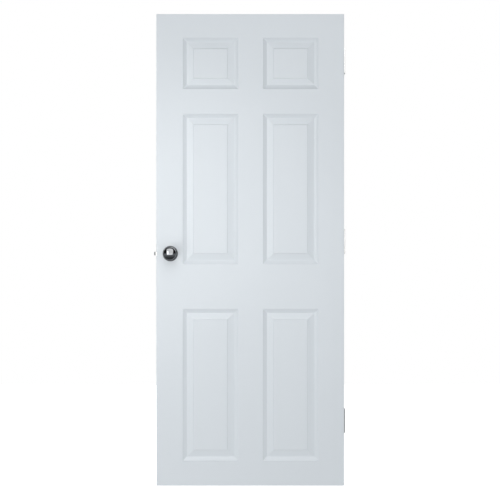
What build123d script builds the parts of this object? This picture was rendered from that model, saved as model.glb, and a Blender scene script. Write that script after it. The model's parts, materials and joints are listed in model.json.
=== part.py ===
"""Fire door leaf with six moulded panels, a round knob set, a tubular latch and three butt hinges.

Millimetres. The leaf stands on z = 0 with its front face towards -Y. The origin is the middle of the
leaf's bottom edge. The lock edge is at -X and the hinge edge at +X.
"""
import math
import os

from build123d import *

# Leaf
leaf_width = 809.0
leaf_height = 2032.0
leaf_thickness = 44.0
skin_thickness = 3.2
edge_ease = 1.6
stile_width = 45.0
rail_height = 60.0
lock_block_width = 60.0
lock_block_height = 400.0

# Panel layout, seen on the face. The hinge edge is planed more than the lock edge.
lock_side_margin = 113.4
hinge_side_margin = 110.6
mullion_margin = 106.2
top_margin = 102.5
frieze_margin = 107.0
lock_rail_margin = 192.9
bottom_margin = 107.5
top_panel_height = 220.5
bottom_panel_height = 654.6

# Moulding round each panel: a hollow slope, a straight bevel, and the step up to the raised field
slope_run = 18.2
slope_hollow = 1.3
groove_depth = 10.2
valley_radius = 2.0
bevel_run = 26.6
step_height = 4.0
step_run = 3.2
step_bulge = 0.45

# Fire seals in the edges
seal_width = 15.0
seal_depth = 4.0
seal_gap = 3.0

# Knob set
backset = 60.0
knob_height = 1000.0
cross_bore_radius = 27.0
rose_radius = 33.0
rose_thickness = 8.5
rose_rim = 2.0
rose_face_radius = 24.0
rose_wall = 1.2
fixing_plate_radius = 30.0
fixing_plate_thickness = 3.0
fixing_bolt_offset = 20.0
fixing_bolt_radius = 2.0
fixing_bolt_head_radius = 3.8
fixing_bolt_head_height = 2.2
shank_radius = 9.5
shank_root_radius = 11.0
shank_length = 22.0
shank_foot = 4.0
knob_radius = 28.5
knob_half_depth = 17.0
knob_edge_radius = 11.0
spindle_size = 8.0
grub_radius = 2.0
grub_recess = 0.6
knob_turn = 60.0

# Latch
latch_throw = 10.5
faceplate_height = 57.0
faceplate_width = 25.4
faceplate_thickness = 2.2
faceplate_screw_spacing = 41.2
bolt_width = 11.5
bolt_height = 15.0
bolt_tip_width = 3.3
bolt_bevel_bulge = 1.8
bolt_guide_length = 12.0
case_radius = 12.2
case_wall = 2.4
case_cap = 2.0
cap_from_axis = 24.0
cheek_half_gap = 4.4
cheek_thickness = 1.6
cheek_half_height = 10.0
cheek_reach = 10.0
edge_bore_radius = 12.7
bar_thickness = 3.0
bar_height = 8.0
bar_riser = 2.5
bar_arm = 2.5
lug_width = 4.0
hub_radius = 8.0
journal_radius = 7.0
journal_half_length = 11.0
finger_tip_radius = 2.0
finger_width = 2.6
finger_thickness = 4.0
spring_wire = 0.9
spring_radius = 6.6
spring_turns = 6

# Hinges
hinge_height = 102.0
hinge_plate_width = 31.0
hinge_plate_thickness = 2.7
hinge_gap = 1.5
hinge_from_top = 150.0
hinge_from_bottom = 225.0
knuckle_radius = 6.5
knuckle_offset = 0.5
pin_radius = 3.5
pin_tip_radius = 5.0
pin_tip_height = 3.0
washer_thickness = 1.6
plate_hole_radius = 2.75
plate_sink_radius = 4.9
plate_hole_inset = 8.0
plate_hole_pitch = 28.0
plate_hole_rows = 4
knuckle_count = 5

# Screws
hinge_screw_radius = 2.4
hinge_screw_length = 32.0
latch_screw_radius = 1.9
latch_sink_radius = 3.8
latch_screw_length = 19.0
screw_tip = 4.0

# Clearances
run_gap = 0.3
pin_fit = 0.05
close_fit = 0.1
nose_gap = 0.35

# Places that follow from the sizes above
face_y = -leaf_thickness / 2
back_y = leaf_thickness / 2
inner_y = face_y + skin_thickness
lock_edge = -leaf_width / 2
hinge_edge = leaf_width / 2
panel_width = (leaf_width - lock_side_margin - hinge_side_margin - mullion_margin) / 2
lock_side_panel_x = lock_edge + lock_side_margin + panel_width / 2
hinge_side_panel_x = hinge_edge - hinge_side_margin - panel_width / 2
lock_rail_base = bottom_margin + bottom_panel_height
middle_panel_base = lock_rail_base + lock_rail_margin
top_panel_base = leaf_height - top_margin - top_panel_height
middle_panel_height = top_panel_base - frieze_margin - middle_panel_base
axis_x = lock_edge + backset
latch_travel_radius = latch_throw / (2 * math.sin(math.radians(knob_turn / 2)))
guide_front = lock_edge + faceplate_thickness + run_gap
guide_back = guide_front + bolt_guide_length
cap_x = axis_x - cap_from_axis
pin_x = hinge_edge + hinge_gap / 2
pin_y = back_y + knuckle_offset + knuckle_radius
hinge_centres = {
    "top": leaf_height - hinge_from_top - hinge_height / 2,
    "middle": (leaf_height - hinge_from_top + hinge_from_bottom) / 2,
    "bottom": hinge_from_bottom + hinge_height / 2,
}
knuckle_length = (hinge_height - 2 * washer_thickness - (knuckle_count - 1) * run_gap) / knuckle_count


def block(x0, x1, y0, y1, z0, z1):
    """A box between two corners."""
    return Pos((x0 + x1) / 2, (y0 + y1) / 2, (z0 + z1) / 2) * Box(x1 - x0, y1 - y0, z1 - z0)


def rod_x(x0, x1, y, z, radius):
    """A round rod along X."""
    return Pos((x0 + x1) / 2, y, z) * Rot(0, 90, 0) * Cylinder(radius, x1 - x0)


def rod_y(y0, y1, x, z, radius):
    """A round rod along Y."""
    return Pos(x, (y0 + y1) / 2, z) * Rot(90, 0, 0) * Cylinder(radius, y1 - y0)


def rod_z(z0, z1, x, y, radius):
    """A round rod along Z."""
    return Pos(x, y, (z0 + z1) / 2) * Cylinder(radius, z1 - z0)


# Moulded faces
def bowed(start, end, bow):
    """An arc from start to end, bowed to the left of the way there, or to the right if bow is negative."""
    chord = end - start
    return ThreePointArc(start, (start + end) / 2 + Vector(-chord.Y, chord.X).normalized() * bow, end)


def moulding_section():
    """Section of the groove round a panel: inwards along Y, down along -Z."""
    arris = Vector(0, 0)
    valley = Vector(slope_run, -groove_depth)
    shelf = Vector(slope_run + bevel_run, -step_height)
    field = Vector(slope_run + bevel_run + step_run, 0)
    with BuildSketch(Plane.YZ) as section:
        with BuildLine():
            bowed(arris, valley, -slope_hollow)
            Line(valley, shelf)
            bowed(shelf, field, step_bulge)
            Line(field, arris)
        make_face()
        fillet(section.vertices().sort_by(Axis.Y)[0], valley_radius)
    return section.sketch


def groove_bar(length):
    """One side of a groove, with its ends mitred at 45 degrees."""
    run = slope_run + bevel_run + step_run
    half = length / 2
    plan = Polygon((-half, 0), (half, 0), (half - run, run), (-half + run, run), align=None)
    return extrude(moulding_section(), amount=half, both=True) & extrude(plan, amount=-2 * groove_depth)


def panel_groove(width, height):
    """The mitred groove round one panel, lying in the XY plane."""
    across = Pos(0, -height / 2, 0) * groove_bar(width)
    upright = Rot(0, 0, 90) * Pos(0, -width / 2, 0) * groove_bar(height)
    return across + upright + Rot(0, 0, 180) * across + Rot(0, 0, 180) * upright


def front_grooves():
    """All six grooves cut into the front face."""
    rows = (
        (bottom_margin, bottom_panel_height),
        (middle_panel_base, middle_panel_height),
        (top_panel_base, top_panel_height),
    )
    grooves = []
    for base, height in rows:
        groove = Rot(90, 0, 0) * panel_groove(panel_width, height)
        for x in (lock_side_panel_x, hinge_side_panel_x):
            grooves.append(Pos(x, face_y, base + height / 2) * groove)
    return Part() + grooves


def cross_bore():
    """The bore through the leaf that takes the knob set."""
    return rod_y(face_y, back_y, axis_x, knob_height, cross_bore_radius)


def hinge_pockets():
    """The pockets in the hinge edge that take the leaf's hinge plates."""
    half = hinge_height / 2
    return Part() + [
        block(hinge_edge - hinge_plate_thickness, hinge_edge, back_y - hinge_plate_width, back_y,
              centre - half, centre + half)
        for centre in hinge_centres.values()
    ]


def front_skin(grooves):
    """The moulded front skin, of one thickness all over."""
    sheet = block(lock_edge, hinge_edge, face_y, inner_y, 0, leaf_height)
    outer = sheet.faces().sort_by(Axis.Y)[0].edges()
    sheet = fillet(outer, edge_ease)
    return sheet + Pos(0, skin_thickness, 0) * grooves - grooves - cross_bore()


def back_skin(front):
    """The back skin: the front one turned round, notched for the hinges."""
    return mirror(front, about=Plane.XZ) - hinge_pockets()


# Inside of the leaf
def core_block(x0, x1, z0, z1):
    """A piece as thick as the space between the skins."""
    return block(x0, x1, inner_y, -inner_y, z0, z1)


def seal_runs(stops):
    """The runs of seal left between the hardware on an edge, up to the top seal."""
    top = leaf_height - seal_depth
    starts = [0.0] + [high + seal_gap for low, high in stops]
    ends = [low - seal_gap for low, high in stops] + [top]
    return list(zip(starts, ends))


def hinge_spans():
    """The stretches of the hinge edge that the hinges take, lowest first."""
    half = hinge_height / 2
    return sorted((centre - half, centre + half) for centre in hinge_centres.values())


def lock_seal():
    """The seal in the lock edge, broken at the latch."""
    half = faceplate_height / 2
    runs = seal_runs([(knob_height - half, knob_height + half)])
    return Part() + [
        block(lock_edge, lock_edge + seal_depth, -seal_width / 2, seal_width / 2, low, high)
        for low, high in runs
    ]


def hinge_seal():
    """The seal in the hinge edge, broken at the hinges."""
    return Part() + [
        block(hinge_edge - seal_depth, hinge_edge, -seal_width / 2, seal_width / 2, low, high)
        for low, high in seal_runs(hinge_spans())
    ]


def top_seal():
    """The seal along the top edge."""
    return block(lock_edge, hinge_edge, -seal_width / 2, seal_width / 2,
                 leaf_height - seal_depth, leaf_height)


def faceplate_pocket():
    """The pocket in the lock edge for the latch's faceplate."""
    return block(lock_edge, lock_edge + faceplate_thickness,
                 -faceplate_width / 2, faceplate_width / 2,
                 knob_height - faceplate_height / 2, knob_height + faceplate_height / 2)


def lock_stile():
    """The upright of the lock edge, bored for the latch and the knob set."""
    stile = core_block(lock_edge, lock_edge + stile_width, 0, leaf_height)
    edge_bore = rod_x(lock_edge, axis_x, 0, knob_height, edge_bore_radius)
    return stile - cross_bore() - edge_bore - faceplate_pocket() - lock_seal() - top_seal() - latch_pilots()


def hinge_stile():
    """The upright of the hinge edge, with pockets for the hinges."""
    stile = core_block(hinge_edge - stile_width, hinge_edge, 0, leaf_height)
    return stile - hinge_pockets() - hinge_seal() - top_seal() - hinge_pilots()


def rail(low):
    """A cross piece between the stiles, cut for the top seal where it lies there."""
    cross = core_block(lock_edge + stile_width, hinge_edge - stile_width, low, low + rail_height)
    return cross - top_seal()


def lock_block_space():
    """Where the block behind the lock stile lies."""
    return core_block(lock_edge + stile_width, lock_edge + stile_width + lock_block_width,
                      knob_height - lock_block_height / 2, knob_height + lock_block_height / 2)


def fire_core(grooves):
    """The solid core, shaped to the backs of both skins."""
    core = core_block(lock_edge + stile_width, hinge_edge - stile_width,
                      rail_height, leaf_height - rail_height)
    behind_front = Pos(0, skin_thickness, 0) * grooves
    return core - lock_block_space() - behind_front - mirror(behind_front, about=Plane.XZ)


# Screws
def screw(length, radius, head_radius):
    """A countersunk screw along -X, with its head at the origin and its tip at -length."""
    head_depth = head_radius - radius
    with BuildSketch(Plane.XY) as section:
        with BuildLine():
            Polyline((0, 0), (0, head_radius), (-head_depth, radius), (-length + screw_tip, radius),
                     (-length, 0), close=True)
        make_face()
    return revolve(section.sketch, Axis.X)


def hinge_hole_places(centre):
    """Where the four screws of a hinge plate go: (y, z), staggered in two columns."""
    inner = back_y - hinge_plate_width + plate_hole_inset
    outer = back_y - plate_hole_inset
    lowest = centre - (plate_hole_rows - 1) * plate_hole_pitch / 2
    heights = [lowest + row * plate_hole_pitch for row in range(plate_hole_rows)]
    return [(inner if row % 2 else outer, height) for row, height in enumerate(heights)]


def hinge_screws():
    """The screws that hold the hinge plates to the leaf."""
    one = screw(hinge_screw_length, hinge_screw_radius, plate_sink_radius - 2 * close_fit)
    return Part() + [
        Pos(hinge_edge - close_fit, y, z) * one
        for centre in hinge_centres.values()
        for y, z in hinge_hole_places(centre)
    ]


def hinge_pilots():
    """The holes in the hinge stile for the hinge screws."""
    return Part() + [
        rod_x(hinge_edge - hinge_screw_length - close_fit, hinge_edge, y, z, hinge_screw_radius + pin_fit)
        for centre in hinge_centres.values()
        for y, z in hinge_hole_places(centre)
    ]


def latch_screw_heights():
    """How high the two faceplate screws are."""
    return [knob_height + side * faceplate_screw_spacing / 2 for side in (-1, 1)]


def latch_screws():
    """The two screws of the faceplate."""
    one = Rot(0, 0, 180) * screw(latch_screw_length, latch_screw_radius, latch_sink_radius - 2 * close_fit)
    return Part() + [Pos(lock_edge + close_fit, 0, z) * one for z in latch_screw_heights()]


def latch_pilots():
    """The holes in the lock stile for the faceplate screws."""
    return Part() + [
        rod_x(lock_edge, lock_edge + latch_screw_length + close_fit, 0, z, latch_screw_radius + pin_fit)
        for z in latch_screw_heights()
    ]


# Latch
def countersink(radius, sink_radius, thickness):
    """A hole with its countersink, along -X from the origin, open at both ends."""
    depth = sink_radius - radius
    hole = rod_x(-thickness, 0, 0, 0, radius)
    sink = Pos(-depth / 2, 0, 0) * Rot(0, 90, 0) * Cone(radius, sink_radius, depth)
    return hole + sink


def latch_faceplate():
    """The plate let into the lock edge, open for the bolt and its screws."""
    plate = faceplate_pocket()
    mouth_y = bolt_width / 2 + nose_gap
    mouth_z = bolt_height / 2 + nose_gap
    plate -= block(lock_edge, lock_edge + faceplate_thickness, -mouth_y, mouth_y,
                   knob_height - mouth_z, knob_height + mouth_z)
    hole = countersink(latch_screw_radius + close_fit, latch_sink_radius, faceplate_thickness)
    return plate - [Pos(lock_edge, 0, z) * Rot(0, 0, 180) * hole for z in latch_screw_heights()]


def latch_case():
    """The tube behind the faceplate, its end cap and the two cheeks that carry the hub."""
    tube_start = lock_edge + faceplate_thickness
    case = rod_x(tube_start, cap_x + case_cap, 0, knob_height, case_radius)
    case -= rod_x(tube_start, cap_x, 0, knob_height, case_radius - case_wall)
    slot_y = bar_thickness / 2 + nose_gap
    slot_z = bar_height / 2 + nose_gap
    case -= block(cap_x, cap_x + case_cap, -slot_y, slot_y, knob_height - slot_z, knob_height + slot_z)
    for side in (-1, 1):
        near = side * cheek_half_gap
        far = side * (cheek_half_gap + cheek_thickness)
        case += block(cap_x, axis_x + cheek_reach, min(near, far), max(near, far),
                      knob_height - cheek_half_height, knob_height + cheek_half_height)
    outer = cheek_half_gap + cheek_thickness
    return case - rod_y(-outer, outer, axis_x, knob_height, journal_radius + close_fit)


def latch_bolt():
    """The bolt, thrown: a bevelled nose and the round guide behind it."""
    tip = lock_edge - latch_throw
    half = bolt_width / 2
    shoulder = Vector(lock_edge - run_gap, -half)
    corner = Vector(tip, half - bolt_tip_width)
    with BuildSketch() as plan:
        with BuildLine():
            Line((guide_front, -half), shoulder)
            bowed(shoulder, corner, bolt_bevel_bulge)
            Polyline(corner, (tip, half), (guide_front, half), (guide_front, -half))
        make_face()
    nose = Pos(0, 0, knob_height) * extrude(plan.sketch, amount=bolt_height / 2, both=True)
    guide_radius = case_radius - case_wall - run_gap
    return nose + rod_x(guide_front, guide_back, 0, knob_height, guide_radius)


def tip_start():
    """The hub's finger tip at rest, from the spindle's axis: (along X, up)."""
    angle = math.radians(knob_turn / 2)
    return -latch_travel_radius * math.sin(angle), latch_travel_radius * math.cos(angle)


def drawbar():
    """The bar behind the bolt, with the hooked arm that the hub's finger draws."""
    tip_x, _ = tip_start()
    lug_face = tip_x + finger_tip_radius + run_gap
    riser_face = -hub_radius - 2 * run_gap - latch_throw
    riser_back = riser_face - bar_riser
    arm_low = latch_travel_radius + finger_tip_radius + 2 * run_gap
    arm_high = arm_low + bar_arm
    half = bar_height / 2
    lug_low = hub_radius + 2 * run_gap
    points = [
        (guide_back - axis_x, -half), (riser_face, -half), (riser_face, arm_low), (lug_face, arm_low),
        (lug_face, lug_low), (lug_face + lug_width, lug_low), (lug_face + lug_width, arm_high),
        (riser_back, arm_high), (riser_back, half), (guide_back - axis_x, half),
    ]
    with BuildSketch(Plane.XZ) as side:
        with BuildLine():
            Polyline(*points, close=True)
        make_face()
    return Pos(axis_x, 0, knob_height) * extrude(side.sketch, amount=bar_thickness / 2, both=True)


def latch_hub():
    """The hub on the spindle, with journals for the cheeks and the finger that draws the bar."""
    disc_half = cheek_half_gap - run_gap
    hub = rod_y(-disc_half, disc_half, 0, 0, hub_radius)
    hub += rod_y(-journal_half_length, journal_half_length, 0, 0, journal_radius)
    half = finger_thickness / 2
    finger = block(-finger_width / 2, finger_width / 2, -half, half, 0, latch_travel_radius)
    finger += rod_y(-half, half, 0, latch_travel_radius, finger_tip_radius)
    hub += Rot(0, -knob_turn / 2, 0) * finger
    square = (spindle_size + 2 * pin_fit) / 2
    hub -= block(-square, square, -journal_half_length, journal_half_length, -square, square)
    return Pos(axis_x, 0, knob_height) * hub


def latch_spring():
    """The coil spring between the bolt's guide and the case's cap: half turns, each in a plane."""
    start = guide_back + spring_wire / 2 + pin_fit
    half_pitch = (cap_x - guide_back - spring_wire - 2 * pin_fit) / (2 * spring_turns)
    with BuildLine() as coil:
        for number in range(2 * spring_turns):
            side = 1 if number % 2 else -1
            low = start + number * half_pitch
            ThreePointArc((low, 0, knob_height + side * spring_radius),
                          (low + half_pitch / 2, side * spring_radius, knob_height),
                          (low + half_pitch, 0, knob_height - side * spring_radius))
    return sweep(Plane(coil.line @ 0, z_dir=coil.line % 0) * Circle(spring_wire / 2), path=coil.line)


# Knob set, made standing on the XY plane and then laid against the face
def on_front(piece):
    """Stands a piece that was made along +Z on the front face, at the knob's axis."""
    return Pos(axis_x, face_y, knob_height) * Rot(90, 0, 0) * piece


def on_back(piece):
    """The same on the back face."""
    return mirror(on_front(piece), about=Plane.XZ)


def turned(*outline):
    """A piece turned from half its section: (radius, height) points."""
    with BuildSketch(Plane.XZ) as section:
        with BuildLine():
            Polyline(*outline, close=True)
        make_face()
    return revolve(section.sketch, Axis.Z)


def rose():
    """The rose: a pressed dish with a rounded rim and a hole for the shank."""
    hole = shank_radius + run_gap
    inner_height = rose_thickness - rose_wall
    inner_radius = rose_radius - rose_wall
    with BuildSketch(Plane.XZ) as section:
        with BuildLine():
            Line((rose_radius, 0), (rose_radius, rose_rim))
            TangentArc((rose_face_radius, rose_thickness), (rose_radius, rose_rim), tangent=(1, 0))
            Polyline((rose_face_radius, rose_thickness), (hole, rose_thickness),
                     (hole, inner_height), (rose_face_radius, inner_height))
            TangentArc((rose_face_radius, inner_height), (inner_radius, rose_rim), tangent=(1, 0))
            Polyline((inner_radius, rose_rim), (inner_radius, 0), (rose_radius, 0))
        make_face()
    return revolve(section.sketch, Axis.Z)


def fixing_plate():
    """The plate under a rose, with holes for the shank and the through bolts."""
    plate = Cylinder(fixing_plate_radius, fixing_plate_thickness,
                     align=(Align.CENTER, Align.CENTER, Align.MIN))
    plate -= Cylinder(shank_radius + 2 * run_gap, 2 * fixing_plate_thickness)
    for side in (-1, 1):
        plate -= Pos(0, side * fixing_bolt_offset, 0) * Cylinder(
            fixing_bolt_radius + pin_fit, 2 * fixing_plate_thickness)
    return plate


def fixing_bolts():
    """The two bolts that pull the fixing plates together through the leaf."""
    reach = leaf_thickness / 2 + fixing_plate_thickness
    bolts = []
    for side in (-1, 1):
        z = knob_height + side * fixing_bolt_offset
        bolt = rod_y(-reach, reach, axis_x, z, fixing_bolt_radius)
        bolt += rod_y(-reach - fixing_bolt_head_height, -reach, axis_x, z, fixing_bolt_head_radius)
        bolt += rod_y(reach, reach + fixing_bolt_head_height, axis_x, z, fixing_bolt_head_radius)
        bolts.append(bolt)
    return Part() + bolts


def square_hole(depth, start):
    """The hole for the spindle, along +Z."""
    size = spindle_size + 2 * pin_fit
    return Pos(0, 0, start + depth / 2) * Box(size, size, depth)


def knob_shank():
    """The neck of a knob, flared towards the head, with holes for the spindle and the grub screw."""
    start = fixing_plate_thickness + run_gap
    end = rose_thickness + shank_length
    neck = turned((0, start), (shank_radius, start), (shank_radius, end - 2 * shank_foot),
                  (shank_root_radius, end), (0, end))
    neck -= square_hole(end - shank_foot - start, start)
    return neck - rod_x(0, shank_root_radius, 0, grub_height(), grub_radius + pin_fit)


def grub_height():
    """How far the grub screw is from the leaf's face."""
    return rose_thickness + 3 * grub_radius


def grub_screw():
    """The grub screw that holds a shank on the spindle."""
    inner = spindle_size / 2 + pin_fit
    return rod_x(inner, shank_radius - grub_recess, 0, grub_height(), grub_radius)


def knob_head():
    """The round head: an oval of three arcs, turned, and cut flat where it meets the shank."""
    rim = knob_radius - knob_edge_radius
    crown_radius = (rim ** 2 + knob_half_depth ** 2 - knob_edge_radius ** 2) / (
        2 * (knob_half_depth - knob_edge_radius))
    lean = math.degrees(math.atan2(crown_radius - knob_half_depth, rim))
    cut = math.degrees(math.acos(shank_root_radius / crown_radius))
    base = rose_thickness + shank_length
    middle = base + crown_radius * math.sin(math.radians(cut)) - crown_radius + knob_half_depth
    with BuildSketch(Plane.XZ) as section:
        with BuildLine():
            low = middle + crown_radius - knob_half_depth
            high = middle - crown_radius + knob_half_depth
            back = CenterArc((0, low), crown_radius, -cut, cut - lean)
            CenterArc((rim, middle), knob_edge_radius, -lean, 2 * lean)
            crown = CenterArc((0, high), crown_radius, lean, 90 - lean)
            Polyline(crown @ 1, (0, base), back @ 0)
        make_face()
    return revolve(section.sketch, Axis.Z)


def spindle():
    """The square bar that joins the two shanks through the hub."""
    reach = leaf_thickness / 2 + rose_thickness + shank_length - shank_foot - 2 * run_gap
    half = spindle_size / 2
    return block(axis_x - half, axis_x + half, -reach, reach, knob_height - half, knob_height + half)


# Hinges
def knuckle_starts():
    """The five knuckles' lower ends, from the foot of the hinge."""
    over_washer = knuckle_length + washer_thickness + run_gap
    plain = knuckle_length + run_gap
    return [0.0, over_washer, over_washer + plain, 2 * over_washer + plain, 2 * over_washer + 2 * plain]


def hinge_half(centre, side, knuckles):
    """A hinge plate with its knuckles. side is -1 for the leaf's plate and 1 for the jamb's."""
    foot = centre - hinge_height / 2
    near = pin_x + side * hinge_gap / 2
    far = near + side * hinge_plate_thickness
    low_x, high_x = min(near, far), max(near, far)
    half = block(low_x, high_x, back_y - hinge_plate_width, back_y, foot, foot + hinge_height)
    for number in knuckles:
        low = foot + knuckle_starts()[number]
        high = low + knuckle_length
        half += block(low_x, high_x, back_y, pin_y - pin_radius - pin_fit, low, high)
        half += rod_z(low, high, pin_x, pin_y, knuckle_radius)
    half -= rod_z(foot, foot + hinge_height, pin_x, pin_y, pin_radius + pin_fit)
    hole = countersink(plate_hole_radius, plate_sink_radius, hinge_plate_thickness)
    if side > 0:
        hole = Rot(0, 0, 180) * hole
    return half - [Pos(near, y, z) * hole for y, z in hinge_hole_places(centre)]


def hinge_pin(centre):
    """A hinge pin with a button tip at each end."""
    low = centre - hinge_height / 2
    high = centre + hinge_height / 2
    pin = rod_z(low, high, pin_x, pin_y, pin_radius)
    pin += rod_z(low - pin_tip_height, low, pin_x, pin_y, pin_tip_radius)
    pin += rod_z(high, high + pin_tip_height, pin_x, pin_y, pin_tip_radius)
    return fillet(pin.edges().filter_by(GeomType.CIRCLE).group_by(Axis.Z)[0]
                  + pin.edges().filter_by(GeomType.CIRCLE).group_by(Axis.Z)[-1], pin_tip_height / 2)


def hinge_washers(centre):
    """The two bearing washers, lying on the jamb plate's lower knuckles."""
    foot = centre - hinge_height / 2
    washers = []
    for number in (0, 2):
        low = foot + knuckle_starts()[number] + knuckle_length
        ring = rod_z(low, low + washer_thickness, pin_x, pin_y, knuckle_radius)
        washers.append(ring - rod_z(low, low + washer_thickness, pin_x, pin_y, pin_radius + pin_fit))
    return Part() + washers


def build():
    """Every node by name."""
    grooves = front_grooves()
    front = front_skin(grooves)
    nodes = {
        "front_skin": front,
        "back_skin": back_skin(front),
        "lock_stile": lock_stile(),
        "hinge_stile": hinge_stile(),
        "top_rail": rail(leaf_height - rail_height),
        "bottom_rail": rail(0),
        "lock_block": lock_block_space() - cross_bore(),
        "fire_core": fire_core(grooves),
        "lock_edge_seal": lock_seal(),
        "hinge_edge_seal": hinge_seal(),
        "top_edge_seal": top_seal(),
        "hinge_screws": hinge_screws(),
        "latch_faceplate": latch_faceplate(),
        "latch_screws": latch_screws(),
        "latch_case": latch_case(),
        "latch_spring": latch_spring(),
        "latch_bolt": latch_bolt(),
        "latch_drawbar": drawbar(),
        "latch_hub": latch_hub(),
        "spindle": spindle(),
        "fixing_bolts": fixing_bolts(),
        "front_rose": on_front(rose()),
        "back_rose": on_back(rose()),
        "front_fixing_plate": on_front(fixing_plate()),
        "back_fixing_plate": on_back(fixing_plate()),
        "front_knob_shank": on_front(knob_shank()),
        "back_knob_shank": on_back(knob_shank()),
        "front_knob_head": on_front(knob_head()),
        "back_knob_head": on_back(knob_head()),
        "front_grub_screw": on_front(grub_screw()),
        "back_grub_screw": on_back(grub_screw()),
    }
    for name, centre in hinge_centres.items():
        nodes[f"{name}_hinge_leaf_plate"] = hinge_half(centre, -1, (1, 3))
        nodes[f"{name}_hinge_jamb_plate"] = hinge_half(centre, 1, (0, 2, 4))
        nodes[f"{name}_hinge_pin"] = hinge_pin(centre)
        nodes[f"{name}_hinge_washers"] = hinge_washers(centre)
    return nodes


os.makedirs("parts", exist_ok=True)
for node_name, shape in build().items():
    export_step(shape, f"parts/{node_name}.step")
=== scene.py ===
"""The looks of the fire door leaf: its finishes, screws, knob heads and latch spring, and its studio.

Metres, in the part's own frame: the front face looks to -Y, the lock edge is at -X and +Z is up.
"""
import json
import math

import bmesh
import bpy
from mathutils import Matrix, Vector


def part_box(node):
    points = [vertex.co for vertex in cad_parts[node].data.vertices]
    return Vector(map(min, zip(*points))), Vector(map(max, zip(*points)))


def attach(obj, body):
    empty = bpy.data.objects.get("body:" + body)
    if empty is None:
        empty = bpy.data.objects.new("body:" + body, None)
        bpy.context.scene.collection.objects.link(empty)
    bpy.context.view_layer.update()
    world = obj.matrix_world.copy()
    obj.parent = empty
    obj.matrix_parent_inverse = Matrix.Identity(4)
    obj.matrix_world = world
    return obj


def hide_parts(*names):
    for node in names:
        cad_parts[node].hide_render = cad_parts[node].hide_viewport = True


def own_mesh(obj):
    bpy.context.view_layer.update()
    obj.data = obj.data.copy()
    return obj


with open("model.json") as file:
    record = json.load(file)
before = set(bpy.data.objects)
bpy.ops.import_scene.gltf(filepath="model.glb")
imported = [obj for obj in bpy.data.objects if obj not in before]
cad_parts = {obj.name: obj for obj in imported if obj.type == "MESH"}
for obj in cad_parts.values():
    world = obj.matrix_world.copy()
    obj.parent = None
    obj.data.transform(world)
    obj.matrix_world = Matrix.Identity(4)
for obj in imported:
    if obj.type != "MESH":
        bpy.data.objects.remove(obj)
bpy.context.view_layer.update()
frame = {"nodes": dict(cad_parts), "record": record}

# The photograph's frame, and where the leaf's middle lies in it
picture_pixels = 500
leaf_middle_pixel = (250.25, 249.9)
metres_per_pixel = 0.004308
camera_distance = 8.0
sensor_mm = 36.0

# Finish colours, as linear red, green and blue
paint_colour = (0.800, 0.842, 0.874)
edge_paint_colour = (0.785, 0.822, 0.848)
pine_colour = (0.62, 0.43, 0.24)
board_colour = (0.46, 0.34, 0.21)
seal_colour = (0.16, 0.11, 0.085)
dark_chrome_colour = (0.175, 0.179, 0.185)
steel_colour = (0.60, 0.60, 0.585)
zinc_colour = (0.56, 0.57, 0.58)
bronze_colour = (0.52, 0.34, 0.15)
floor_colour = (0.90, 0.90, 0.90)

# Most of a noise's values lie between these
noise_low = 0.3
noise_high = 0.7

# The studio: what lights the part, what it mirrors, and how white the floor is
room_light = 0.606
room_mirrored = 0.03
backdrop_mirrored = 0.4
floor_mirrored = 0.75
under_mirrored = 0.17
floor_glow = 0.9
room_tint = (0.96, 0.98, 1.0)
mirrored_tint = (0.9, 0.95, 1.0)
# How bright the room is in polish, by height: 0 is straight down, 0.5 the horizon, 1 straight up
mirrored_by_height = (
    (0.12, under_mirrored),
    (0.45, floor_mirrored),
    (0.495, floor_mirrored),
    (0.52, room_mirrored),
)
# The directions along Y between which polish goes over to mirroring the backdrop
backdrop_from = -0.1
backdrop_full = 0.35
# The leaf's front face, which the lights aim at; its back face is as far the other way
face_y = -0.022
# name, place, aim, width, height, spread in degrees, power, seen in reflections only
soft_boxes = (
    ("over_knob", (-0.34, -1.0, 1.87), (-0.34, face_y, 1.0), 0.45, 0.40, 80, 0.40, False),
    ("left", (-2.3, -1.6, 1.35), (0.0, face_y, 1.1), 1.6, 1.8, 180, 2.0, False),
    ("left_low", (-1.6, -1.8, 0.2), (0.0, face_y, 0.9), 1.0, 0.6, 180, 8.5, False),
    ("front_low", (0.0, -4.2, 0.3), (0.0, face_y, 0.9), 3.0, 1.0, 180, 15.0, False),
    ("right", (2.3, -1.8, 1.2), (0.0, face_y, 1.1), 1.4, 1.6, 180, 3.0, False),
    ("behind", (2.2, 1.8, 2.0), (0.0, -face_y, 1.0), 1.2, 1.2, 180, 32.0, False),
    ("mirrored_behind", (-1.4, 1.9, 1.8), (0.0, -face_y, 1.0), 1.0, 1.4, 180, 12.0, True),
    ("mirrored_key", (-0.36, -1.12, 1.52), (-0.345, -0.08, 1.0), 2.0, 2.1, 180, 40.0, True),
    ("mirrored_left", (-1.14, -1.6, 1.35), (-0.1, face_y, 1.2), 0.6, 1.2, 180, 10.0, True),
)
floor_half_width = 6.0
gap_under_leaf = 0.004

# Sizes of the fasteners that are modelled here, in metres
hinge_screw = {
    "radius": 0.0024,
    "head_radius": 0.0047,
    "length": 0.032,
    "pitch": 0.0022,
    "cross": 0.0026,
}
latch_screw = {
    "radius": 0.0019,
    "head_radius": 0.0036,
    "length": 0.019,
    "pitch": 0.0016,
    "cross": 0.0020,
}
screw_tip_length = 0.004
# The thread's depth as a share of the screw's radius, half its ridge's width as a share of the
# pitch, and the point's radius as a share of the thread's
thread_depth_share = 0.26
thread_half_width = 0.25
screw_point_share = 0.02
round_steps = 24
rows_per_thread = 6
# How far each screw of a set is turned from the last, in degrees, and how far the first is turned
screw_turn = 37
first_screw_turn = 11

# The recesses' forms, as shares: of the cross's reach, of its depth, and of the grub screw's radius
cross_arm_share = 0.24
cross_mouth_share = 1.1
cross_bottom_share = 0.45
recess_stand_out = 0.2
socket_share = 0.55
grub_chamfer_share = 0.15
socket_sides = 6

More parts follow.
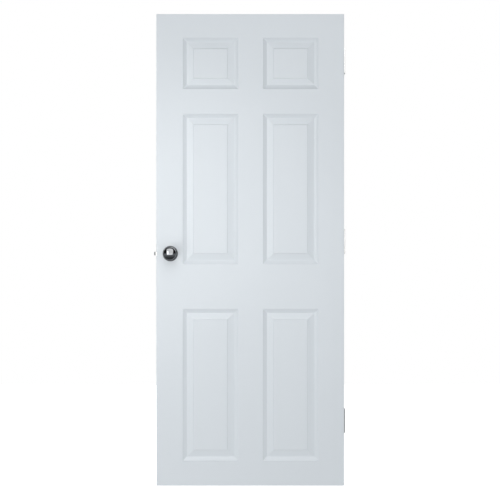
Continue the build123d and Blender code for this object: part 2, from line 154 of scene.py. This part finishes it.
# An edge that turns by more than this stays sharp, and points this near to each other are one
sharp_edge = math.radians(32)
weld_distance = 1e-6

# The knob heads' turned form, in metres
head_half_depth = 0.017
head_edge_radius = 0.011
head_arc_steps = {"back": 10, "edge": 26, "crown": 30}
head_round_steps = 96

# The latch's coil spring, in metres
spring_wire_radius = 0.00045
spring_turns = 7
spring_closed_pitch = 0.00095
spring_steps_per_turn = 36
spring_wire_steps = 12

leaf_low, leaf_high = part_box("front_skin")
leaf_middle = (leaf_low + leaf_high) / 2


class Finish:
    """A new material with its nodes, made by short calls."""

    def __init__(self, name, colour, roughness, metallic=0.0):
        self.material = bpy.data.materials.new(name)
        self.material.use_nodes = True
        self.nodes = self.material.node_tree.nodes
        self.links = self.material.node_tree.links
        self.shader = self.nodes["Principled BSDF"]
        self.shader.inputs["Base Color"].default_value = (*colour, 1)
        self.shader.inputs["Roughness"].default_value = roughness
        self.shader.inputs["Metallic"].default_value = metallic
        self.colour = colour
        self.place = self.nodes.new("ShaderNodeTexCoord").outputs["Object"]

    def stretched(self, scale):
        """The object's own coordinates, scaled along each axis."""
        mapping = self.nodes.new("ShaderNodeMapping")
        mapping.inputs["Scale"].default_value = scale
        self.links.new(self.place, mapping.inputs["Vector"])
        return mapping.outputs["Vector"]

    def noise(self, scale, detail, vector=None):
        """A noise, in waves to the metre."""
        node = self.nodes.new("ShaderNodeTexNoise")
        node.inputs["Scale"].default_value = scale
        node.inputs["Detail"].default_value = detail
        self.links.new(self.place if vector is None else vector, node.inputs["Vector"])
        return node.outputs["Fac"]

    def spread(self, value, low, high):
        """A noise's usual values, spread over low to high."""
        node = self.nodes.new("ShaderNodeMapRange")
        node.inputs["From Min"].default_value = noise_low
        node.inputs["From Max"].default_value = noise_high
        node.inputs["To Min"].default_value = low
        node.inputs["To Max"].default_value = high
        self.links.new(value, node.inputs["Value"])
        return node.outputs["Result"]

    def vary_roughness(self, value, low, high):
        """Roughness that follows a noise."""
        self.links.new(self.spread(value, low, high), self.shader.inputs["Roughness"])

    def vary_colour(self, value, dark, light):
        """The colour times dark to light, following a noise."""
        mix = self.nodes.new("ShaderNodeMix")
        mix.data_type = "RGBA"
        for socket, factor in (("A", dark), ("B", light)):
            shade = [min(1.0, channel * factor) for channel in self.colour]
            mix.inputs[socket].default_value = (*shade, 1)
        self.links.new(self.spread(value, 0.0, 1.0), mix.inputs["Factor"])
        self.links.new(mix.outputs["Result"], self.shader.inputs["Base Color"])

    def bump(self, value, height):
        """A bump of that height in metres, on top of any earlier one."""
        node = self.nodes.new("ShaderNodeBump")
        node.inputs["Distance"].default_value = height
        self.links.new(value, node.inputs["Height"])
        earlier = self.shader.inputs["Normal"].links
        if earlier:
            self.links.new(earlier[0].from_socket, node.inputs["Normal"])
        self.links.new(node.outputs["Normal"], self.shader.inputs["Normal"])


def white_paint():
    """Sprayed satin paint on the pressed skins: fine orange peel over the faint fibre of the board."""
    finish = Finish("white_paint", paint_colour, 0.4)
    finish.shader.inputs["Specular IOR Level"].default_value = 0.24
    finish.vary_colour(finish.noise(2.2, 3.0), 0.992, 1.006)
    finish.vary_roughness(finish.noise(14.0, 4.0), 0.34, 0.42)
    finish.bump(finish.noise(420.0, 2.0), 0.00003)
    finish.bump(finish.noise(90.0, 3.0, vector=finish.stretched((1.0, 1.0, 0.35))), 0.00005)
    return finish.material


def edge_paint():
    """Brushed satin paint on the planed edges, with the grain of the wood showing through."""
    finish = Finish("edge_paint", edge_paint_colour, 0.45)
    grain = finish.noise(1.0, 4.0, vector=finish.stretched((420.0, 420.0, 9.0)))
    finish.vary_colour(grain, 0.955, 1.01)
    finish.vary_roughness(finish.noise(40.0, 3.0), 0.40, 0.52)
    finish.bump(grain, 0.00012)
    finish.bump(finish.noise(1.0, 2.0, vector=finish.stretched((1500.0, 1500.0, 40.0))), 0.00003)
    return finish.material


def pine():
    """Planed bare softwood."""
    finish = Finish("pine", pine_colour, 0.6)
    grain = finish.noise(1.0, 5.0, vector=finish.stretched((160.0, 160.0, 5.0)))
    finish.vary_colour(grain, 0.72, 1.12)
    finish.vary_roughness(grain, 0.52, 0.68)
    finish.bump(grain, 0.0002)
    return finish.material


def particle_board():
    """The pressed board of the core."""
    finish = Finish("particle_board", board_colour, 0.8)
    flakes = finish.nodes.new("ShaderNodeTexVoronoi")
    flakes.inputs["Scale"].default_value = 260.0
    finish.links.new(finish.stretched((1.0, 2.5, 1.0)), flakes.inputs["Vector"])
    finish.vary_colour(flakes.outputs["Distance"], 0.6, 1.15)
    finish.bump(flakes.outputs["Distance"], 0.0004)
    return finish.material


def fire_seal():
    """The extruded strip in the edges, with faint lengthwise die lines."""
    finish = Finish("fire_seal", seal_colour, 0.55)
    lines = finish.noise(1.0, 2.0, vector=finish.stretched((900.0, 900.0, 2.0)))
    finish.vary_colour(finish.noise(60.0, 4.0), 0.85, 1.2)
    finish.vary_roughness(lines, 0.45, 0.62)
    finish.bump(lines, 0.0001)
    return finish.material


def dark_chrome():
    """Polished black nickel with the faint haze of handling."""
    finish = Finish("dark_chrome", dark_chrome_colour, 0.07, 1.0)
    haze = finish.noise(55.0, 5.0)
    finish.vary_colour(haze, 0.92, 1.08)
    finish.vary_roughness(haze, 0.045, 0.10)
    return finish.material


def satin_steel():
    """Satin stainless steel, brushed along its length."""
    finish = Finish("satin_steel", steel_colour, 0.3, 1.0)
    brushing = finish.noise(1.0, 3.0, vector=finish.stretched((2600.0, 2600.0, 60.0)))
    finish.vary_colour(finish.noise(45.0, 3.0), 0.93, 1.05)
    finish.vary_roughness(brushing, 0.24, 0.40)
    finish.bump(brushing, 0.00002)
    return finish.material


def zinc_plate():
    """Dull zinc plating with its mottled crystals."""
    finish = Finish("zinc_plate", zinc_colour, 0.4, 1.0)
    mottle = finish.noise(240.0, 4.0)
    finish.vary_colour(mottle, 0.82, 1.1)
    finish.vary_roughness(mottle, 0.32, 0.5)
    finish.bump(finish.noise(900.0, 2.0), 0.00002)
    return finish.material


def oiled_bronze():
    """The bearing washers, worn to a soft shine."""
    finish = Finish("oiled_bronze", bronze_colour, 0.35, 1.0)
    finish.vary_colour(finish.noise(320.0, 4.0), 0.7, 1.15)
    finish.vary_roughness(finish.noise(500.0, 3.0), 0.28, 0.48)
    return finish.material


def dress():
    """Gives every CAD node the finish of its material slot, and returns the finishes by slot."""
    makers = {
        "white_paint": white_paint,
        "painted_softwood": edge_paint,
        "inner_wood": pine,
        "core_board": particle_board,
        "seal": fire_seal,
        "dark_chrome": dark_chrome,
        "satin_steel": satin_steel,
        "zinc_steel": zinc_plate,
        "washer_bronze": oiled_bronze,
    }
    finishes = {slot: maker() for slot, maker in makers.items()}
    for row in frame["record"]["subparts"]:
        piece = frame["nodes"][row["node"]]
        for material_slot in piece.material_slots:
            material_slot.material = finishes[row["material_slot"]]
    return finishes


def join_rings(mesh, rings):
    """Smooth faces between each ring of points and the next."""
    for near, far in zip(rings, rings[1:]):
        for step in range(len(near)):
            following = (step + 1) % len(near)
            corners = (near[step], near[following], far[following], far[step])
            mesh.faces.new(corners).smooth = True


def close_rings(mesh, rings):
    """Joins rings of points into a solid with a flat face at each end."""
    join_rings(mesh, rings)
    mesh.faces.new(list(reversed(rings[0])))
    mesh.faces.new(rings[-1])
    bmesh.ops.recalc_face_normals(mesh, faces=mesh.faces)
    return mesh


def ring_round_x(mesh, depth, radii):
    """A ring of points round the X axis, at that depth towards -X, one for each radius."""
    ring = []
    for step, radius in enumerate(radii):
        angle = 2 * math.pi * step / len(radii)
        ring.append(mesh.verts.new((-depth, radius * math.cos(angle), radius * math.sin(angle))))
    return ring


def thread_radius(shape, depth, turn):
    """How far a screw's surface is from its axis, at a depth under its face and a turn of 0 to 1."""
    head_depth = shape["head_radius"] - shape["radius"]
    core = shape["radius"] * (1 - thread_depth_share)
    if depth < head_depth:
        return shape["head_radius"] - depth
    to_tip = (shape["length"] - depth) / screw_tip_length
    saw = (depth / shape["pitch"] - turn) % 1.0
    ridge = max(0.0, 1 - abs(saw - 0.5) / thread_half_width) * (shape["radius"] - core)
    return (core + ridge) * min(1.0, max(screw_point_share, to_tip))


def screw_mesh(shape):
    """A countersunk wood screw with its thread, its face at the origin and its tip at -X."""
    head_depth = shape["head_radius"] - shape["radius"]
    just_inside_head = head_depth * 0.999
    threaded = shape["length"] - head_depth
    rows = int(threaded / shape["pitch"] * rows_per_thread)
    depths = [0.0, just_inside_head]
    depths += [head_depth + threaded * row / rows for row in range(1, rows + 1)]
    mesh = bmesh.new()
    rings = []
    for depth in depths:
        turns = [step / round_steps for step in range(round_steps)]
        rings.append(ring_round_x(mesh, depth, [thread_radius(shape, depth, turn) for turn in turns]))
    return close_rings(mesh, rings)


def cross_recess(reach, depth):
    """The tapered cross that the driver fits, as a cutter going in along -X."""
    arm = reach * cross_arm_share
    outline = []
    for quarter in range(4):
        turn = Matrix.Rotation(quarter * math.pi / 2, 2)
        outline += [turn @ Vector(point) for point in ((reach, -arm), (reach, arm), (arm, arm))]
    mesh = bmesh.new()
    rings = []
    for x, share in ((depth * recess_stand_out, cross_mouth_share), (-depth, cross_bottom_share)):
        rings.append([mesh.verts.new((x, point.x * share, point.y * share)) for point in outline])
    return close_rings(mesh, rings)


def socket_recess(reach, depth):
    """The hexagon that the key fits, as a cutter going in along -X."""
    mesh = bmesh.new()
    ends = (-depth * recess_stand_out, depth)
    return close_rings(mesh, [ring_round_x(mesh, end, [reach] * socket_sides) for end in ends])


def to_object(name, mesh):
    """An object made from a bmesh, in the scene."""
    data = bpy.data.meshes.new(name)
    mesh.to_mesh(data)
    mesh.free()
    piece = bpy.data.objects.new(name, data)
    bpy.context.scene.collection.objects.link(piece)
    return piece


def cut(body, cutter):
    """The body less the cutter, as a mesh of its own. Both objects are used up."""
    modifier = body.modifiers.new("cut", "BOOLEAN")
    modifier.operation = "DIFFERENCE"
    modifier.solver = "EXACT"
    modifier.object = cutter
    evaluated = body.evaluated_get(bpy.context.evaluated_depsgraph_get())
    result = bpy.data.meshes.new_from_object(evaluated)
    for used in (body, cutter):
        data = used.data
        bpy.data.objects.remove(used)
        bpy.data.meshes.remove(data)
    return result


def set_of(name, model, places):
    """One object with a copy of the model at each placing matrix, smooth but for its sharp edges."""
    mesh = bmesh.new()
    for place in places:
        before = len(mesh.verts)
        mesh.from_mesh(model)
        mesh.verts.ensure_lookup_table()
        bmesh.ops.transform(mesh, matrix=place, verts=mesh.verts[before:])
    for face in mesh.faces:
        face.smooth = True
    for edge in mesh.edges:
        if len(edge.link_faces) == 2:
            edge.smooth = edge.calc_face_angle() < sharp_edge
    return to_object(name, mesh)


def node_middles(name):
    """The middles of a node's separate solids, found from its mesh."""
    mesh = bmesh.new()
    mesh.from_mesh(frame["nodes"][name].data)
    bmesh.ops.remove_doubles(mesh, verts=mesh.verts, dist=weld_distance)
    left = set(mesh.verts)
    middles = []
    while left:
        start = left.pop()
        group, waiting = [start], [start]
        while waiting:
            vertex = waiting.pop()
            for edge in vertex.link_edges:
                other = edge.other_vert(vertex)
                if other in left:
                    left.remove(other)
                    group.append(other)
                    waiting.append(other)
        low = Vector([min(v.co[axis] for v in group) for axis in range(3)])
        high = Vector([max(v.co[axis] for v in group) for axis in range(3)])
        middles.append((low + high) / 2)
    mesh.free()
    return sorted(middles, key=lambda middle: middle.z)


def fasteners(name, node, shape, direction, material):
    """Screws with their threads and cross recesses, in place of a node's plain ones.

    Each screw's cross stands at an angle of its own, as they are left by hand.
    """
    model = cut(to_object("screw_body", screw_mesh(shape)),
                to_object("screw_cross", cross_recess(shape["cross"], shape["cross"])))
    places = []
    for number, middle in enumerate(node_middles(node)):
        face = middle + Vector((direction * shape["length"] / 2, 0, 0))
        flip = Matrix.Rotation(0 if direction > 0 else math.pi, 4, "Z")
        spin = Matrix.Rotation(math.radians(screw_turn * number + first_screw_turn), 4, "X")
        places.append(Matrix.Translation(face) @ flip @ spin)
    piece = set_of(name, model, places)
    bpy.data.meshes.remove(model)
    piece.data.materials.append(material)
    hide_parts(node)
    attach(piece, "leaf")


def grub_screws(material):
    """Socket screws in the knob shanks, in place of the plain ones."""
    for side in ("front", "back"):
        node = f"{side}_grub_screw"
        low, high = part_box(node)
        middle = (low + high) / 2
        radius = (high.z - low.z) / 2
        length = high.x - low.x
        chamfer = radius * grub_chamfer_share
        mesh = bmesh.new()
        rings = [ring_round_x(mesh, depth, [reach] * round_steps)
                 for depth, reach in ((0, radius - chamfer), (chamfer, radius), (length, radius))]
        socket = socket_recess(radius * socket_share, radius)
        model = cut(to_object("grub_body", close_rings(mesh, rings)), to_object("grub_socket", socket))
        place = Matrix.Translation((high.x, middle.y, middle.z))
        piece = set_of(f"{side}_socket_screw", model, [place])
        bpy.data.meshes.remove(model)
        piece.data.materials.append(material)
        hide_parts(node)
        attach(piece, "knobs")


def head_outline(radius, depth):
    """Half the head's section, as (radius, height) from its foot to its tip: an oval of three arcs."""
    rim = radius - head_edge_radius
    crown = (rim ** 2 + head_half_depth ** 2 - head_edge_radius ** 2) / (
        2 * (head_half_depth - head_edge_radius))
    lean = math.atan2(crown - head_half_depth, rim)
    middle = depth - head_half_depth
    low = middle + crown - head_half_depth
    high = middle - crown + head_half_depth
    foot_angle = math.asin(low / crown)
    outline = []
    for name, centre, reach, start, end in (
        ("back", (0, low), crown, -foot_angle, -lean),
        ("edge", (rim, middle), head_edge_radius, -lean, lean),
        ("crown", (0, high), crown, lean, math.pi / 2),
    ):
        steps = head_arc_steps[name]
        first = 1 if outline else 0
        for step in range(first, steps + 1):
            angle = start + (end - start) * step / steps
            across, along = reach * math.cos(angle), reach * math.sin(angle)
            outline.append((centre[0] + across, centre[1] + along))
    return outline


def knob_heads(material):
    """The two turned heads with even facets, so that their polish mirrors the room cleanly."""
    for side, outward in (("front", -1), ("back", 1)):
        node = f"{side}_knob_head"
        low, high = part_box(node)
        middle = (low + high) / 2
        foot = high.y if outward < 0 else low.y
        outline = head_outline((high.z - low.z) / 2, high.y - low.y)
        mesh = bmesh.new()
        rings = []
        for reach, height in outline[:-1]:
            ring = []
            for step in range(head_round_steps):
                angle = 2 * math.pi * step / head_round_steps
                ring.append(mesh.verts.new((
                    middle.x + reach * math.cos(angle),
                    foot + outward * height,
                    middle.z + reach * math.sin(angle),
                )))
            rings.append(ring)
        join_rings(mesh, rings)
        tip = mesh.verts.new((middle.x, foot + outward * outline[-1][1], middle.z))
        for step in range(head_round_steps):
            following = (step + 1) % head_round_steps
            mesh.faces.new((rings[-1][step], rings[-1][following], tip)).smooth = True
        mesh.faces.new(list(reversed(rings[0])))
        bmesh.ops.recalc_face_normals(mesh, faces=mesh.faces)
        for edge in mesh.edges:
            edge.smooth = edge.calc_face_angle() < sharp_edge
        piece = to_object(f"{side}_turned_head", mesh)
        piece.data.materials.append(material)
        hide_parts(node)
        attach(piece, "knobs")


def spring_depth(turn, length):
    """How far along its length a spring's wire is after some turns. Each end's turn is closed."""
    open_pitch = (length - 2 * spring_closed_pitch) / (spring_turns - 2)
    if turn < 1:
        return turn * spring_closed_pitch
    if turn > spring_turns - 1:
        return length - (spring_turns - turn) * spring_closed_pitch
    return spring_closed_pitch + (turn - 1) * open_pitch


def coil_spring(material):
    """The latch's spring as one even coil with closed ends."""
    low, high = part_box("latch_spring")
    middle = (low + high) / 2
    reach = (high.z - low.z) / 2 - spring_wire_radius
    first = low.x + spring_wire_radius
    length = high.x - low.x - 2 * spring_wire_radius
    mesh = bmesh.new()
    rings = []
    for step in range(spring_turns * spring_steps_per_turn + 1):
        turn = step / spring_steps_per_turn
        outward = Vector((0, math.sin(2 * math.pi * turn), math.cos(2 * math.pi * turn)))
        on_axis = Vector((first + spring_depth(turn, length), middle.y, middle.z))
        centre = on_axis + outward * reach
        ring = []
        for side in range(spring_wire_steps):
            angle = 2 * math.pi * side / spring_wire_steps
            across = outward * math.cos(angle) + Vector((math.sin(angle), 0, 0))
            ring.append(mesh.verts.new(centre + across * spring_wire_radius))
        rings.append(ring)
    piece = to_object("latch_coil_spring", close_rings(mesh, rings))
    piece.data.materials.append(material)
    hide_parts("latch_spring")
    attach(piece, "leaf")
    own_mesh(piece)


def lay_floor():
    """A plain pale floor just under the leaf, lit softly from within so that it reads as white."""
    half = floor_half_width
    height = leaf_low.z - gap_under_leaf
    corners = [(x, y, height) for x, y in ((-half, -half), (half, -half), (half, half), (-half, half))]
    mesh = bpy.data.meshes.new("floor")
    mesh.from_pydata(corners, [], [(0, 1, 2, 3)])
    floor = bpy.data.objects.new("floor", mesh)
    floor.visible_diffuse = False
    floor.visible_glossy = False
    bpy.context.scene.collection.objects.link(floor)
    finish = Finish("pale_floor", floor_colour, 0.8)
    finish.vary_colour(finish.noise(3.0, 3.0), 0.995, 1.005)
    finish.shader.inputs["Emission Color"].default_value = (1, 1, 1, 1)
    finish.shader.inputs["Emission Strength"].default_value = floor_glow
    mesh.materials.append(finish.material)


def soft_box(name, place, aim, width, height, spread, power, mirrored):
    """A rectangular studio light that points at aim. A mirrored one only shows in gloss."""
    light = bpy.data.lights.new(name, "AREA")
    light.shape = "RECTANGLE"
    light.size = width
    light.size_y = height
    light.spread = math.radians(spread)
    light.energy = power
    lamp = bpy.data.objects.new(name, light)
    lamp.location = place
    lamp.rotation_euler = (Vector(aim) - Vector(place)).to_track_quat("-Z", "Y").to_euler()
    lamp.visible_glossy = mirrored
    lamp.visible_diffuse = not mirrored
    bpy.context.scene.collection.objects.link(lamp)


def mirrored_strength(nodes, links):
    """How bright the room is where polish mirrors it: by height, and the backdrop behind the part."""
    direction = nodes.new("ShaderNodeSeparateXYZ")
    links.new(nodes.new("ShaderNodeTexCoord").outputs["Generated"], direction.inputs["Vector"])
    rising = nodes.new("ShaderNodeMapRange")
    rising.inputs["From Min"].default_value = -1.0
    links.new(direction.outputs["Z"], rising.inputs["Value"])
    ahead = nodes.new("ShaderNodeFloatCurve")
    links.new(rising.outputs["Result"], ahead.inputs["Value"])
    curve = ahead.mapping.curves[0]
    curve.points[0].location = (0.0, under_mirrored)
    curve.points[1].location = (1.0, room_mirrored)
    for height, strength in mirrored_by_height:
        curve.points.new(height, strength)
    for point in curve.points:
        point.handle_type = "VECTOR"
    ahead.mapping.update()
    behind = nodes.new("ShaderNodeMapRange")
    behind.interpolation_type = "SMOOTHSTEP"
    behind.inputs["From Min"].default_value = backdrop_from
    behind.inputs["From Max"].default_value = backdrop_full
    behind.inputs["To Max"].default_value = backdrop_mirrored
    links.new(ahead.outputs["Value"], behind.inputs["To Min"])
    links.new(direction.outputs["Y"], behind.inputs["Value"])
    return behind.outputs["Result"]


def light_room():
    """The room: white to the camera, soft light for the part, and what its polish mirrors."""
    world = bpy.data.worlds.new("studio")
    world.use_nodes = True
    bpy.context.scene.world = world
    nodes, links = world.node_tree.nodes, world.node_tree.links
    seen = nodes["Background"]
    seen.inputs["Color"].default_value = (1, 1, 1, 1)
    seen.inputs["Strength"].default_value = 1.0
    lighting = nodes.new("ShaderNodeBackground")
    lighting.inputs["Color"].default_value = (*room_tint, 1)
    lighting.inputs["Strength"].default_value = room_light
    mirrored = nodes.new("ShaderNodeBackground")
    mirrored.inputs["Color"].default_value = (*mirrored_tint, 1)
    links.new(mirrored_strength(nodes, links), mirrored.inputs["Strength"])
    path = nodes.new("ShaderNodeLightPath")
    unseen = nodes.new("ShaderNodeMixShader")
    links.new(path.outputs["Is Glossy Ray"], unseen.inputs["Fac"])
    links.new(lighting.outputs["Background"], unseen.inputs[1])
    links.new(mirrored.outputs["Background"], unseen.inputs[2])
    either = nodes.new("ShaderNodeMixShader")
    links.new(path.outputs["Is Camera Ray"], either.inputs["Fac"])
    links.new(unseen.outputs["Shader"], either.inputs[1])
    links.new(seen.outputs["Background"], either.inputs[2])
    links.new(either.outputs["Shader"], nodes["World Output"].inputs["Surface"])


def stand_camera():
    """The camera square to the leaf, framed as in the photograph."""
    centre_pixel = picture_pixels / 2
    camera = bpy.data.cameras.new("camera")
    camera.sensor_width = sensor_mm
    camera.lens = sensor_mm * camera_distance / (picture_pixels * metres_per_pixel)
    stand = bpy.data.objects.new("camera", camera)
    stand.location = (
        leaf_middle.x + (centre_pixel - leaf_middle_pixel[0]) * metres_per_pixel,
        leaf_low.y - camera_distance,
        leaf_middle.z + (leaf_middle_pixel[1] - centre_pixel) * metres_per_pixel,
    )
    stand.rotation_euler = (math.radians(90), 0, 0)
    bpy.context.scene.collection.objects.link(stand)
    bpy.context.scene.camera = stand


bpy.context.scene.view_settings.view_transform = "Standard"
finishes = dress()
fasteners("hinge_wood_screws", "hinge_screws", hinge_screw, 1, finishes["satin_steel"])
fasteners("latch_wood_screws", "latch_screws", latch_screw, -1, finishes["satin_steel"])
grub_screws(finishes["zinc_steel"])
coil_spring(finishes["zinc_steel"])
knob_heads(finishes["dark_chrome"])
lay_floor()
light_room()
for box in soft_boxes:
    soft_box(*box)
stand_camera()
